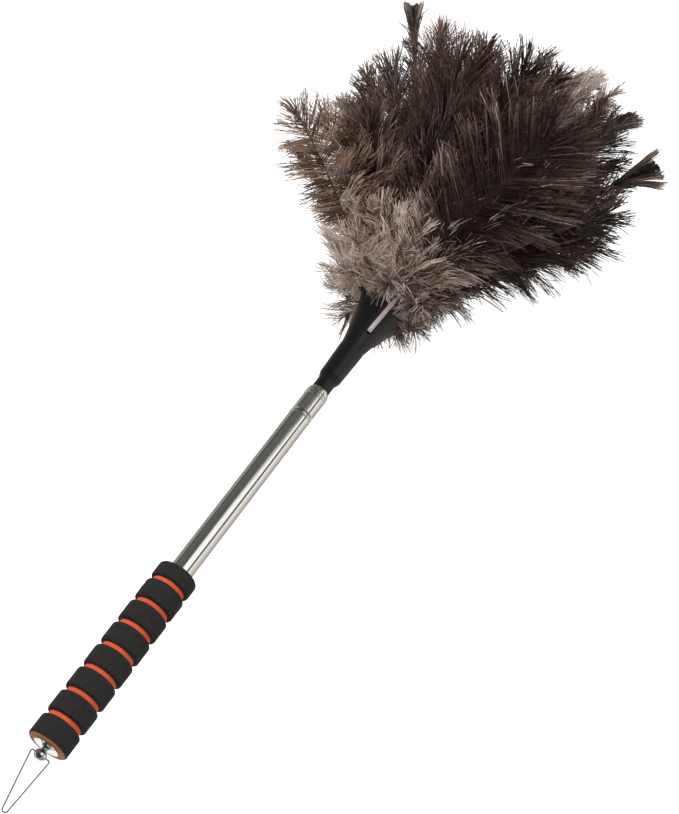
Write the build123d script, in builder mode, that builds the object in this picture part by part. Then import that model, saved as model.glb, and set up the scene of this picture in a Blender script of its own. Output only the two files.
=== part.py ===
# Feather duster with a telescopic steel pole, a ringed foam grip and a wire hanging loop.
# The pole stands along +Z with the feathers up. The origin is on the pole's axis, in the
# middle of the foam grip. All lengths are in millimetres, all angles in degrees.
from build123d import *
from math import atan2, cos, degrees, radians, sin
import os

os.makedirs("parts", exist_ok=True)

# ---------------------------------------------------------------- fits
running_fit = 0.05  # radial gap of a sleeve or bushing on the tube that slides in it
glue_gap = 0.05  # radial gap of two pieces that are pressed or glued together
rest_gap = 0.3  # gap left between pieces that rest on one another

# ---------------------------------------------------------------- telescopic pole
tube_od = 19.0  # outside of the widest tube
tube_wall = 0.5
tube_gap = 0.8  # radial space between one tube and the next
outer_tube_length = 364.0
mouth_step = 1.6  # how far each inner mouth stands above the one around it
shoulder_length = 2.4  # rounded swage at a tube's mouth
lip_clearance = 0.15  # radial gap between a mouth's lip and the next tube
crimp_below_mouth = 27.5
crimp_width = 2.2
crimp_depth = 0.6
sleeve_length = 14.0  # friction sleeve at the foot of each sliding tube
sleeve_chamfer = 0.4
bushing_gap = 0.5  # along the pole, from the bushing to its crimp and shoulder

# ---------------------------------------------------------------- foam grip
foam_od = 33.4
core_od = 27.4  # orange layer at the bottom of the grooves
core_clearance = 0.1
ring_count = 8
ring_pitch = 21.6
groove_width = 4.5
top_ring_length = 13.5
ring_edge_radius = 1.8
top_edge_radius = 2.8
washer_od = 31.2
washer_thickness = 1.0
washer_edge_radius = 0.4

# ---------------------------------------------------------------- butt cap and hanging loop
plug_length = 12.0
plug_wall = 1.6
plug_floor = 2.5
flange_od = 21.0
flange_rim = 0.8
flange_dome = 1.4
dome_fullness = 0.7  # share of the dome's height reached at its middle radius
cap_neck_od = 5.0
ball_od = 10.0
ball_drop = 8.5  # from the foam's end face to the ball's centre
wire_od = 1.2
pivot_clearance = 0.08
loop_length = 48.0  # from the pivot to the end of the wire
loop_left = 7.6
loop_right = 8.6
loop_tip_offset = 4.0
loop_tip_radius = 1.9
loop_shoulder_radius = 1.5
wire_grip = 3.2  # length of wire end inside the ball, from the ball's centre

# ---------------------------------------------------------------- head fittings
neck_od = 15.5
neck_length = 10.3
skirt_depth = 3.0
skirt_clearance = 0.3
collar_flare = 5.4
collar_lower_od = 19.4
collar_upper_od = 21.6
collar_length = 33.6
collar_bore = 16.0
collar_low_edge_radius = 0.5
collar_top_edge_radius = 0.7
socket_spigot = 17.0
socket_floor = 2.4
cup_waist_od = 20.6
cup_belly_od = 28.6
cup_rim_od = 39.2
cup_height = 41.7
cup_wall = 2.3
cup_floor = 10.0
petal_count = 4
slot_turn = -80.0  # where round the cup the front slot lies
slot_width = 4.7
slot_start = 14.0  # above the collar
dowel_od = 5.0
dowel_length = 26.0
dowel_chamfer = 0.5
binding_thickness = 1.1
binding_height = 5.0
binding_chamfer = 0.4

# ---------------------------------------------------------------- feathers
heart_height = 9.0  # from the cup's rim to the point from which the plumes' tips are measured
vane_thickness = 1.2
vane_blank = 1.1  # width of the strip that a vane is cut from, as a share of its own
vane_outline = [(0.25, 0.22), (0.55, 0.44), (0.80, 0.50), (0.95, 0.32)]  # along, half width
vane_root_width = 6.0
rib_od = 2.0
rib_share = 0.8  # of the vane's length
# For each tier: quill_rise is how far above the cup's rim the quill starts to bend, bend the
# radius there, and droop the angle by which the vane's foot is steeper than its lean.
slot_quill_od = 4.2
slot_quill_sink = 1.2  # of its axis below the cup's outside, at the slot's foot
slot_end_gap = 0.2  # from the slot's round end to the quill
slot_bend = 26.0
slot_droop = 16.0
rim_quill_depth = 9.0  # from the cup's rim down to the quills' feet
wall_gap = 0.25  # from the quills' feet to the cup's wall
rim_quill_od = 2.8
rim_quill_lean = 3.0
rim_quill_rise = 3.0
rim_bend = 22.0
rim_droop = 16.0
down_quill_od = 2.4
down_quill_rise = 2.0
down_bend = 8.0
down_droop = 22.0
down_root_width = 3.0
bundle_start = 16.0  # above the collar
ring_gap = 0.6  # between the two rings of quills
mid_quill_od = 3.0
mid_quill_rise = 4.0
mid_bend = 40.0
mid_droop = 9.0
dowel_gap = 0.8  # between the inner ring and the dowel
top_quill_od = 2.6
top_quill_rise = 8.0
top_bend = 60.0
top_droop = 5.0
core_ring_radius = 1.4
core_quill_od = 2.0
core_quill_rise = 12.0
core_bend = 80.0
core_droop = 2.0
core_root_width = 2.4

# ---------------------------------------------------------------- heights worked out from the sizes
grip_length = (ring_count - 1) * ring_pitch + top_ring_length
butt_z = -grip_length / 2
mouth_z = butt_z + outer_tube_length
plug_top_z = butt_z + plug_length
foot_z = plug_top_z + rest_gap
stage_count = 4
stage_step = 2 * (tube_wall + tube_gap)
pivot_z = butt_z - ball_drop
neck_z = mouth_z + mouth_step + rest_gap
flare_z = neck_z + neck_length
collar_z = flare_z + collar_flare
cup_z = collar_z + collar_length
slot_z = cup_z + slot_start
rim_z = cup_z + cup_height
heart_z = rim_z + heart_height
rim_quill_z = rim_z - rim_quill_depth
binding_z = rim_quill_z - rim_quill_od / 2 - rest_gap - binding_height
bundle_z = cup_z + bundle_start
top_ring_radius = dowel_od / 2 + dowel_gap + top_quill_od / 2
mid_ring_radius = top_ring_radius + top_quill_od / 2 + ring_gap + mid_quill_od / 2


def stage_od(stage):
    return tube_od - (stage - 1) * stage_step


def stage_mouth_z(stage):
    return mouth_z + (stage - 1) * mouth_step


def cup_radius(height):
    """Outside of the cup at a height above the collar, by a parabola through its three sizes."""
    share = height / cup_height
    waist, belly, rim = cup_waist_od / 2, cup_belly_od / 2, cup_rim_od / 2
    return waist + (4 * belly - 3 * waist - rim) * share + 2 * (waist + rim - 2 * belly) * share**2


# ================================================================ telescopic tubes
def swaged_tube(stage, foot):
    """A thin tube with a crimped groove near its mouth and a mouth that necks in."""
    outside = stage_od(stage) / 2
    inside = outside - tube_wall
    lip = stage_od(stage + 1) / 2 + lip_clearance
    mouth = stage_mouth_z(stage)
    crimp = mouth - crimp_below_mouth
    low = crimp - crimp_width / 2
    high = crimp + crimp_width / 2
    shoulder = mouth - shoulder_length
    with BuildPart() as tube:
        with BuildSketch(Plane.XZ):
            with BuildLine():
                Line((outside, foot), (outside, low))
                ThreePointArc((outside, low), (outside - crimp_depth, crimp), (outside, high))
                Line((outside, high), (outside, shoulder))
                TangentArc((outside, shoulder), (lip + tube_wall, mouth), tangent=(0, 1))
                Line((lip + tube_wall, mouth), (lip, mouth))
                TangentArc((inside, shoulder), (lip, mouth), tangent=(0, 1))
                Line((inside, shoulder), (inside, high))
                ThreePointArc((inside, high), (inside - crimp_depth, crimp), (inside, low))
                Line((inside, low), (inside, foot))
                Line((inside, foot), (outside, foot))
            make_face()
        revolve(axis=Axis.Z)
    return tube


outer_tube = swaged_tube(1, butt_z)
outer_tube.part.label = "outer_tube"
export_step(outer_tube.part, "parts/outer_tube.step")

for stage in (2, 3):
    inner_tube = swaged_tube(stage, foot_z)
    inner_tube.part.label = f"stage_{stage}_tube"
    export_step(inner_tube.part, f"parts/stage_{stage}_tube.step")

tip_tube_top_z = collar_z + socket_spigot - socket_floor - rest_gap
with BuildPart() as stage_4_tube:
    with BuildSketch(Plane.XY.offset(foot_z)):
        Circle(stage_od(stage_count) / 2)
        Circle(stage_od(stage_count) / 2 - tube_wall, mode=Mode.SUBTRACT)
    extrude(amount=tip_tube_top_z - foot_z)
stage_4_tube.part.label = "stage_4_tube"
export_step(stage_4_tube.part, "parts/stage_4_tube.step")

# A nylon sleeve on each sliding tube's foot rubs in the tube around it.
for stage in (2, 3, 4):
    with BuildPart() as sleeve:
        with BuildSketch(Plane.XY.offset(foot_z)):
            Circle(stage_od(stage - 1) / 2 - tube_wall - running_fit)
            Circle(stage_od(stage) / 2 + glue_gap, mode=Mode.SUBTRACT)
        extrude(amount=sleeve_length)
        sleeve_top = sleeve.faces().sort_by(Axis.Z)[-1]
        chamfer(sleeve_top.edges().sort_by(SortBy.RADIUS)[-1], sleeve_chamfer)
    sleeve.part.label = f"stage_{stage}_sleeve"
    export_step(sleeve.part, f"parts/stage_{stage}_sleeve.step")

# A guide bushing sits inside each mouth, between the crimp and the shoulder.
for stage in (1, 2, 3):
    bushing_foot = stage_mouth_z(stage) - crimp_below_mouth + crimp_width / 2 + bushing_gap
    bushing_top = stage_mouth_z(stage) - shoulder_length - bushing_gap
    with BuildPart() as bushing:
        with BuildSketch(Plane.XY.offset(bushing_foot)):
            Circle(stage_od(stage) / 2 - tube_wall - glue_gap)
            Circle(stage_od(stage + 1) / 2 + running_fit, mode=Mode.SUBTRACT)
        extrude(amount=bushing_top - bushing_foot)
    bushing.part.label = f"guide_bushing_{stage}"
    export_step(bushing.part, f"parts/guide_bushing_{stage}.step")

# ================================================================ foam grip
with BuildPart() as grip_core:
    with BuildSketch(Plane.XY.offset(butt_z)):
        Circle(core_od / 2)
        Circle(tube_od / 2 + core_clearance, mode=Mode.SUBTRACT)
    extrude(amount=grip_length)
grip_core.part.label = "grip_core"
export_step(grip_core.part, "parts/grip_core.step")

# The rings are numbered from the butt up. The top one is cut short.
for number in range(1, ring_count + 1):
    ring_foot = butt_z + (number - 1) * ring_pitch
    is_top = number == ring_count
    ring_length = top_ring_length if is_top else ring_pitch - groove_width
    low_radius = ring_edge_radius if number > 1 else ring_edge_radius / 3
    high_radius = top_edge_radius if is_top else ring_edge_radius
    with BuildPart() as ring:
        with BuildSketch(Plane.XY.offset(ring_foot)):
            Circle(foam_od / 2)
            Circle(core_od / 2 + core_clearance, mode=Mode.SUBTRACT)
        extrude(amount=ring_length)
        fillet(ring.faces().sort_by(Axis.Z)[0].edges().sort_by(SortBy.RADIUS)[-1], low_radius)
        fillet(ring.faces().sort_by(Axis.Z)[-1].edges().sort_by(SortBy.RADIUS)[-1], high_radius)
    ring.part.label = f"grip_ring_{number}"
    export_step(ring.part, f"parts/grip_ring_{number}.step")

plug_radius = tube_od / 2 - tube_wall - glue_gap
with BuildPart() as end_washer:
    with BuildSketch(Plane.XY.offset(butt_z - washer_thickness)):
        Circle(washer_od / 2)
        Circle(plug_radius + glue_gap, mode=Mode.SUBTRACT)
    extrude(amount=washer_thickness)
    washer_face = end_washer.faces().sort_by(Axis.Z)[0]
    fillet(washer_face.edges().sort_by(SortBy.RADIUS)[-1], washer_edge_radius)
end_washer.part.label = "end_washer"
export_step(end_washer.part, "parts/end_washer.step")

# ================================================================ butt cap
# One turned piece: hollow plug, domed flange, short neck and the ball that carries the loop.
flange_top_z = butt_z - washer_thickness
flange_low_z = flange_top_z - flange_rim
dome_z = flange_low_z - flange_dome
with BuildPart() as butt_cap:
    with BuildSketch(Plane.XZ):
        with BuildLine():
            Polyline(
                (0, dome_z),
                (0, flange_top_z + plug_floor),
                (plug_radius - plug_wall, flange_top_z + plug_floor),
                (plug_radius - plug_wall, plug_top_z),
                (plug_radius - plug_wall / 2, plug_top_z),
                (plug_radius, plug_top_z - plug_wall / 2),
                (plug_radius, flange_top_z),
                (flange_od / 2, flange_top_z),
                (flange_od / 2, flange_low_z),
            )
            ThreePointArc(
                (flange_od / 2, flange_low_z),
                ((flange_od + cap_neck_od) / 4, flange_low_z - flange_dome * dome_fullness),
                (cap_neck_od / 2, dome_z),
            )
            Line((cap_neck_od / 2, dome_z), (0, dome_z))
        make_face()
    revolve(axis=Axis.Z)
    with BuildSketch(Plane.XY.offset(dome_z)):
        Circle(cap_neck_od / 2)
    extrude(amount=pivot_z - dome_z)
    with Locations((0, 0, pivot_z)):
        Sphere(ball_od / 2)
    with BuildSketch(Plane.YZ):
        with Locations((0, pivot_z)):
            Circle(wire_od / 2 + pivot_clearance)
    extrude(amount=ball_od, both=True, mode=Mode.SUBTRACT)
butt_cap.part.label = "butt_cap"
export_step(butt_cap.part, "parts/butt_cap.step")

# ================================================================ hanging loop
# Its two ends turn inward into the cross hole of the ball, so it swings about X.
tip_z = pivot_z - loop_length + wire_od / 2
with BuildPart() as wire_loop:
    with BuildLine(Plane.XZ) as loop_path:
        FilletPolyline(
            (-wire_grip, pivot_z),
            (-loop_left, pivot_z),
            (loop_tip_offset - loop_tip_radius, tip_z),
            (loop_tip_offset + loop_tip_radius, tip_z),
            (loop_right, pivot_z),
            (wire_grip, pivot_z),
            radius=(loop_shoulder_radius, loop_tip_radius, loop_tip_radius, loop_shoulder_radius),
        )
    with BuildSketch(Plane(origin=loop_path.line @ 0, z_dir=loop_path.line % 0)):
        Circle(wire_od / 2)
    sweep()
wire_loop.part.label = "wire_loop"
export_step(wire_loop.part, "parts/wire_loop.step")

# ================================================================ head fittings
socket_bore = stage_od(stage_count) / 2 + glue_gap
skirt_bore = stage_od(3) / 2 + skirt_clearance
spigot_radius = collar_bore / 2 - glue_gap
spigot_top_z = collar_z + socket_spigot
with BuildPart() as head_socket:
    with BuildSketch(Plane.XZ):
        with BuildLine():
            Polyline(
                (skirt_bore, neck_z),
                (neck_od / 2, neck_z),
                (neck_od / 2, flare_z),
                (collar_lower_od / 2, collar_z),
                (spigot_radius, collar_z),
                (spigot_radius, spigot_top_z),
                (0, spigot_top_z),
                (0, spigot_top_z - socket_floor),
                (socket_bore, spigot_top_z - socket_floor),
                (socket_bore, neck_z + skirt_depth),
                (skirt_bore, neck_z + skirt_depth),
                close=True,
            )
        make_face()
    revolve(axis=Axis.Z)
head_socket.part.label = "head_socket"
export_step(head_socket.part, "parts/head_socket.step")

with BuildPart() as head_collar:
    with BuildSketch(Plane.XZ):
        with BuildLine():
            Polyline(
                (collar_bore / 2, collar_z),
                (collar_lower_od / 2, collar_z),
                (collar_upper_od / 2, cup_z),
                (collar_bore / 2, cup_z),
                close=True,
            )
        make_face()
    revolve(axis=Axis.Z)
    low_face = head_collar.faces().sort_by(Axis.Z)[0]
    fillet(low_face.edges().sort_by(SortBy.RADIUS)[-1], collar_low_edge_radius)
    top_face = head_collar.faces().sort_by(Axis.Z)[-1]
    fillet(top_face.edges().sort_by(SortBy.RADIUS)[-1], collar_top_edge_radius)
head_collar.part.label = "head_collar"
export_step(head_collar.part, "parts/head_collar.step")

# The cup flares into petals, parted by slots in which the outer quills lie.
shank_z = spigot_top_z + rest_gap
with BuildPart() as feather_cup:
    with BuildSketch(Plane.XZ):
        with BuildLine():
            Polyline(
                (0, cup_z + cup_floor),
                (0, shank_z),
                (spigot_radius, shank_z),
                (spigot_radius, cup_z),
                (cup_waist_od / 2, cup_z),
            )
            ThreePointArc(
                (cup_waist_od / 2, cup_z),
                (cup_belly_od / 2, cup_z + cup_height / 2),
                (cup_rim_od / 2, rim_z),
            )
            Line((cup_rim_od / 2, rim_z), (cup_rim_od / 2 - cup_wall, rim_z))
            ThreePointArc(
                (cup_rim_od / 2 - cup_wall, rim_z),
                (cup_belly_od / 2 - cup_wall, cup_z + cup_height / 2),
                (cup_waist_od / 2 - cup_wall, cup_z + cup_floor),
            )
            Line((cup_waist_od / 2 - cup_wall, cup_z + cup_floor), (0, cup_z + cup_floor))
        make_face()
    revolve(axis=Axis.Z)
    slot_length = cup_height
    for index in range(petal_count):
        turn = slot_turn + index * 360 / petal_count
        outward = (cos(radians(turn)), sin(radians(turn)), 0)
        sideways = (-sin(radians(turn)), cos(radians(turn)), 0)
        with BuildSketch(Plane(origin=(0, 0, 0), x_dir=sideways, z_dir=outward)):
            with Locations((0, slot_z + slot_length / 2)):
                SlotOverall(slot_length, slot_width, rotation=90)
        extrude(amount=cup_rim_od, mode=Mode.SUBTRACT)
feather_cup.part.label = "feather_cup"
export_step(feather_cup.part, "parts/feather_cup.step")

# ================================================================ quill bundle
dowel_z = cup_z + cup_floor + rest_gap
with BuildPart() as core_dowel:
    with BuildSketch(Plane.XY.offset(dowel_z)):
        Circle(dowel_od / 2)
    extrude(amount=dowel_length)
    chamfer(core_dowel.faces().sort_by(Axis.Z)[-1].edges(), dowel_chamfer)
core_dowel.part.label = "core_dowel"
export_step(core_dowel.part, "parts/core_dowel.step")

binding_bore = mid_ring_radius + mid_quill_od / 2 + glue_gap
with BuildPart() as quill_binding:
    with BuildSketch(Plane.XY.offset(binding_z)):
        Circle(binding_bore + binding_thickness)
        Circle(binding_bore, mode=Mode.SUBTRACT)
    extrude(amount=binding_height)
    chamfer(quill_binding.edges().filter_by(GeomType.CIRCLE), binding_chamfer)
quill_binding.part.label = "quill_binding"
export_step(quill_binding.part, "parts/quill_binding.step")


# ================================================================ feathers
# Each plume lies in an upright plane through the pole's axis. Its quill rises from the cup,
# bends outward and runs on as one long arc through the vane, a thin curved blade.
# A plume's row: azimuth round the pole, then lean, reach and width. Lean and reach place the
# tip as seen from the heart, a point on the axis just above the cup.
slot_feathers = [
    (slot_turn, 42, 228, 84),
    (slot_turn + 90, 34, 226, 64),
    (slot_turn + 180, 46, 245, 86),
    (slot_turn + 270, 59, 214, 66),
]
rim_feathers = [
    (-35, 33, 232, 78),
    (55, 29, 265, 78),
    (145, 40, 268, 78),
    (235, 38, 240, 80),
]
mid_feathers = [
    (-105, 20, 268, 78),
    (-50, 26, 287, 78),
    (0, 22, 348, 64),
    (50, 18, 325, 76),
    (95, 22, 320, 74),
    (137, 35, 288, 76),
    (175, 27, 318, 64),
    (205, 33, 240, 72),
]
top_feathers = [
    (-88, 8, 300, 54),
    (-14, 13, 350, 62),
    (60, 8, 342, 56),
    (127, 14, 338, 62),
    (190, 17, 325, 62),
]
core_feathers = [
    (-45, 3.5, 330, 26),
    (135, 3.5, 345, 26),
]
down_feathers = [
    (-57, 88, 60, 30),
    (-12, 88, 54, 30),
    (33, 100, 58, 32),
    (78, 104, 66, 34),
    (123, 102, 70, 36),
    (168, 100, 78, 38),
    (213, 100, 76, 38),
    (258, 92, 62, 32),
]


def plume(
    azimuth, lean, reach, width, foot, foot_lean, quill_od, quill_length, bend, droop, root
):
    """One feather as a solid: quill, bend, rib and curved vane. Foot is (radius, height)."""
    outward = Vector(cos(radians(azimuth)), sin(radians(azimuth)), 0)
    side = Plane(origin=(0, 0, 0), x_dir=outward, z_dir=outward.rotate(Axis.Z, -90))
    tip = (reach * sin(radians(lean)), heart_z + reach * cos(radians(lean)))
    with BuildPart() as feather:
        with BuildLine(side) as stem:
            quill = PolarLine(foot, quill_length, 90 - foot_lean)
            JernArc(quill @ 1, quill % 1, bend, foot_lean - (lean - droop))
        with BuildLine(side) as spine:
            rib = TangentArc(stem.line @ 1, side.from_local_coords(tip), tangent=stem.line % 1)
        chord = (rib @ 1) - (rib @ 0)
        with BuildSketch(Plane(origin=rib @ 0, x_dir=side.z_dir, z_dir=rib % 0)):
            Rectangle(width * vane_blank, vane_thickness)
        sweep(path=spine.line)
        above = Plane(origin=rib @ 0, x_dir=chord, z_dir=side.z_dir.cross(chord))
        edge = [(chord.length * along, width * half) for along, half in vane_outline]
        with BuildSketch(above.offset(-reach / 2)):
            with BuildLine():
                Spline((0, root / 2), *edge, (chord.length, 0))
                Spline((0, -root / 2), *[(x, -y) for x, y in edge], (chord.length, 0))
                Line((0, -root / 2), (0, root / 2))
            make_face()
        extrude(amount=reach, mode=Mode.INTERSECT)
        with BuildSketch(Plane(origin=rib @ 0, z_dir=rib % 0)):
            Circle(rib_od / 2)
        sweep(path=rib.trim(0, rib_share))
        with BuildSketch(Plane(origin=stem.line @ 0, z_dir=stem.line % 0)):
            Circle(quill_od / 2)
        sweep(path=stem.line)
        with Locations(stem.line @ 0):
            Sphere(quill_od / 2)
    return feather


def export_plumes(tier, rows, **stem):
    for number, (azimuth, lean, reach, width) in enumerate(rows, start=1):
        feather = plume(azimuth, lean, reach, width, **stem)
        feather.part.label = f"{tier}_plume_{number}"
        export_step(feather.part, f"parts/{tier}_plume_{number}.step")


# The outermost quills lie in the cup's slots, along its flare.
slot_foot_height = slot_start + slot_width / 2 + slot_end_gap
slot_foot_radius = cup_radius(slot_foot_height)
slot_lean = degrees(atan2(cup_rim_od / 2 - slot_foot_radius, cup_height - slot_foot_height))
export_plumes(
    "slot",
    slot_feathers,
    foot=(slot_foot_radius - slot_quill_sink, cup_z + slot_foot_height),
    foot_lean=slot_lean,
    quill_od=slot_quill_od,
    quill_length=(cup_height - slot_foot_height) / cos(radians(slot_lean)),
    bend=slot_bend,
    droop=slot_droop,
    root=vane_root_width,
)
# Just inside the rim, the rest of the outer plumes take turns with the short downy ones.
rim_foot_radius = cup_radius(cup_height - rim_quill_depth) - cup_wall
export_plumes(
    "rim",
    rim_feathers,
    foot=(rim_foot_radius - wall_gap - rim_quill_od / 2, rim_quill_z),
    foot_lean=rim_quill_lean,
    quill_od=rim_quill_od,
    quill_length=rim_quill_depth + rim_quill_rise,
    bend=rim_bend,
    droop=rim_droop,
    root=vane_root_width,
)
export_plumes(
    "down",
    down_feathers,
    foot=(rim_foot_radius - wall_gap - down_quill_od / 2, rim_quill_z),
    foot_lean=0,
    quill_od=down_quill_od,
    quill_length=rim_quill_depth + down_quill_rise,
    bend=down_bend,
    droop=down_droop,
    root=down_root_width,
)
# The middle and top plumes stand in two rings round the dowel, the core ones on its end.
export_plumes(
    "mid",
    mid_feathers,
    foot=(mid_ring_radius, bundle_z),
    foot_lean=0,
    quill_od=mid_quill_od,
    quill_length=rim_z + mid_quill_rise - bundle_z,
    bend=mid_bend,
    droop=mid_droop,
    root=vane_root_width,
)
export_plumes(
    "top",
    top_feathers,
    foot=(top_ring_radius, bundle_z),
    foot_lean=0,
    quill_od=top_quill_od,
    quill_length=rim_z + top_quill_rise - bundle_z,
    bend=top_bend,
    droop=top_droop,
    root=vane_root_width,
)
core_foot_z = dowel_z + dowel_length + rest_gap + core_quill_od / 2
export_plumes(
    "core",
    core_feathers,
    foot=(core_ring_radius, core_foot_z),
    foot_lean=0,
    quill_od=core_quill_od,
    quill_length=rim_z + core_quill_rise - core_foot_z,
    bend=core_bend,
    droop=core_droop,
    root=core_root_width,
)
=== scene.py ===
"""A feather duster: its finishes, its foam and its feathers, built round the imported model.

Lengths are in metres and angles in degrees. The pole stands along +Z with the feathers up,
and the origin is on its axis, in the middle of the foam grip.
"""

from math import pi, radians

import bpy
import numpy as np
from mathutils import Matrix, Vector


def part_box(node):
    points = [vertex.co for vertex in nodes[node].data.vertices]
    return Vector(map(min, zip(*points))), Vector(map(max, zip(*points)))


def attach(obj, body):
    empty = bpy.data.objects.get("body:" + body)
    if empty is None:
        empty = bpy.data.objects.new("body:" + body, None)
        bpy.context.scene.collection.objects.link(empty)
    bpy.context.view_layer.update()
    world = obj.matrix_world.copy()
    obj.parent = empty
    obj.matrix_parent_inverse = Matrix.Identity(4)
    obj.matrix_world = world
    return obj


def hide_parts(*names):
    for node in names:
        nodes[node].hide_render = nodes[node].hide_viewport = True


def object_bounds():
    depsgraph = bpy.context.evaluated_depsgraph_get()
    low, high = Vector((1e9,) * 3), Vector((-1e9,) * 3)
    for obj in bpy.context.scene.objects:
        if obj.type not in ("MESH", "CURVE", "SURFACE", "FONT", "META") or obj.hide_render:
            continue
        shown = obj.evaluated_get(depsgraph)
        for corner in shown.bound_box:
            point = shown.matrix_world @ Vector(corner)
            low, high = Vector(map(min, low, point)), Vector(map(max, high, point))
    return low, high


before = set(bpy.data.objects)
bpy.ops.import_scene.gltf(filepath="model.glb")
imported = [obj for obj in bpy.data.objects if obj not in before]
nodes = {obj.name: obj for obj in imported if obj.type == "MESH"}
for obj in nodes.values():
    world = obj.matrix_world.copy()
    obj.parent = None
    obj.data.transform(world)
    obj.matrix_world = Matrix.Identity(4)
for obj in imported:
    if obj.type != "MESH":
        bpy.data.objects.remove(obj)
cad_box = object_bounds()
bpy.ops.object.select_all(action="DESELECT")
mm = 0.001
full_turn = 2 * pi


# ================================================================ shader helpers
class Value:
    """The output of a shader node. A formula on values adds the Math nodes that it needs."""

    def __init__(self, finish, socket):
        self.finish = finish
        self.socket = socket

    def math(self, operation, *others):
        return self.finish.node("Math", {"operation": operation}, self, *others)

    def __add__(self, other):
        return self.math("ADD", other)

    def __sub__(self, other):
        return self.math("SUBTRACT", other)

    def __rsub__(self, other):
        return self.finish.node("Math", {"operation": "SUBTRACT"}, other, self)

    def __mul__(self, other):
        return self.math("MULTIPLY", other)

    def __gt__(self, other):
        return self.math("GREATER_THAN", other)

    def clamp(self):
        return self.finish.node("Clamp", {}, self)

    def sibling(self, name):
        """Another output of the same node."""
        return Value(self.finish, self.socket.node.outputs[name])

    __radd__ = __add__
    __rmul__ = __mul__


def paint(red, green, blue):
    """A colour as a painter reads it off a chart, from 0 to 255, made linear for the shader."""
    levels = [c / 255 for c in (red, green, blue)]
    return tuple(c / 12.92 if c < 0.04045 else ((c + 0.055) / 1.055) ** 2.4 for c in levels) + (1,)


class Finish:
    """A material or a world that is written as a few formulas."""

    def __init__(self, block):
        block.use_nodes = True
        self.block = block
        self.tree = block.node_tree
        self.tree.nodes.clear()

    def node(self, kind, settings, *inputs, out=0, **named):
        """Any node: its type, its settings, which are set first, then the values or links of
        its sockets in their order or by name. None leaves a socket as it is."""
        made = self.tree.nodes.new("ShaderNode" + kind)
        for key, value in settings.items():
            if key == "stops":
                self.set_stops(made.color_ramp, value)
            else:
                setattr(made, key, value)
        for place, value in [*enumerate(inputs), *named.items()]:
            self.plug(made.inputs[place], value)
        return Value(self, made.outputs[out]) if len(made.outputs) else None

    def plug(self, socket, value):
        if isinstance(value, Value):
            self.tree.links.new(value.socket, socket)
        elif value is not None:
            socket.default_value = value

    @staticmethod
    def set_stops(ramp, stops):
        while len(ramp.elements) < len(stops):
            ramp.elements.new(0.5)
        for element, (place, colour) in zip(ramp.elements, stops):
            element.position = place
            element.color = colour

    def mix(self, share, first, second):
        """One colour laid over another by a share from 0 to 1. Between its factor and its two
        colours, a Mix node has five sockets for numbers and vectors."""
        numbers = [None] * 5
        return self.node("Mix", {"data_type": "RGBA"}, share, *numbers, first, second, out=2)

    def place(self, scale=(1, 1, 1)):
        """Object coordinates, stretched along an axis where its scale is small."""
        spot = self.node("TexCoord", {}, out="Object")
        return self.node("Mapping", {}, spot, Scale=scale)

    def noise(self, scale, detail, rough, stretch=(1, 1, 1)):
        where = self.place(stretch)
        return self.node("TexNoise", {}, where, Scale=scale, Detail=detail, Roughness=rough, out="Fac")

    def bump(self, height, depth, strength):
        return self.node("Bump", {}, Strength=strength, Distance=depth, Height=height)

    def surface(self, **sockets):
        """The shader itself. Sockets are named with underscores for their spaces."""
        named = {key.replace("_", " "): value for key, value in sockets.items()}
        shader = self.node("BsdfPrincipled", {}, **named)
        self.node("OutputMaterial", {}, shader)
        return self.block


def new_finish(name):
    return Finish(bpy.data.materials.new(name))


# ================================================================ finishes
def polished_steel():
    """Drawn and polished tube: fine lines along its length, a little uneven in shine."""
    f = new_finish("polished_steel")
    lines = f.noise(2600, 3, 0.6, (1, 1, 0.004))
    broad = f.noise(420, 2, 0.5, (1, 1, 0.006))
    smears = f.noise(45, 4, 0.6)
    tint = f.mix(broad, paint(202, 202, 197), paint(226, 226, 224))
    tint = f.mix((lines - 0.5) * 0.9, tint, paint(116, 115, 109))
    rough = lines * 0.10 + smears * 0.08 + 0.05
    return f.surface(
        Base_Color=tint,
        Metallic=1.0,
        Roughness=rough,
        Normal=f.bump(lines, 0.02 * mm, 0.4),
    )


def bright_chrome():
    """Chrome on the cap and ball, with faint polishing marks and dulled patches."""
    f = new_finish("bright_chrome")
    marks = f.noise(900, 3, 0.6, (1, 1, 0.2))
    dull = f.noise(160, 4, 0.6)
    tint = f.mix(dull, paint(224, 226, 226), paint(196, 198, 198))
    return f.surface(
        Base_Color=tint,
        Metallic=1.0,
        Roughness=dull * 0.12 + 0.03,
        Normal=f.bump(marks, 0.02 * mm, 0.3),
    )


def spring_wire():
    """The hanging loop's hard drawn wire."""
    f = new_finish("spring_wire")
    drawn = f.noise(3000, 2, 0.5, (1, 1, 0.02))
    stain = f.noise(260, 3, 0.6)
    tint = f.mix(stain, paint(176, 176, 178), paint(116, 116, 118))
    return f.surface(
        Base_Color=tint,
        Metallic=1.0,
        Roughness=drawn * 0.15 + 0.16,
        Normal=f.bump(drawn, 0.03 * mm, 0.5),
    )


def moulded_plastic():
    """Black polypropylene: a fine spark-eroded grain, duller where it has been handled."""
    f = new_finish("moulded_plastic")
    grain = f.noise(5200, 2, 0.6)
    cloud = f.noise(70, 3, 0.55)
    tint = f.mix(cloud, paint(15, 16, 17), paint(25, 27, 29))
    return f.surface(
        Base_Color=tint,
        Roughness=cloud * 0.16 + grain * 0.10 + 0.26,
        Normal=f.bump(grain, 0.03 * mm, 0.6),
        Specular_IOR_Level=0.35,
    )


# The foam's cells and pores, and the painted shade along the grooves' edges: how far from a
# groove's middle it starts, and the width over which it darkens.
cell_scale = 1900
pore_scale = 855
unshaded_half_width = 1.1 * mm
groove_shade_width = 1.1 * mm


def shade_of(colour, share):
    """The same colour with a share of its light."""
    return tuple(c * share for c in colour[:3]) + (1,)


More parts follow.
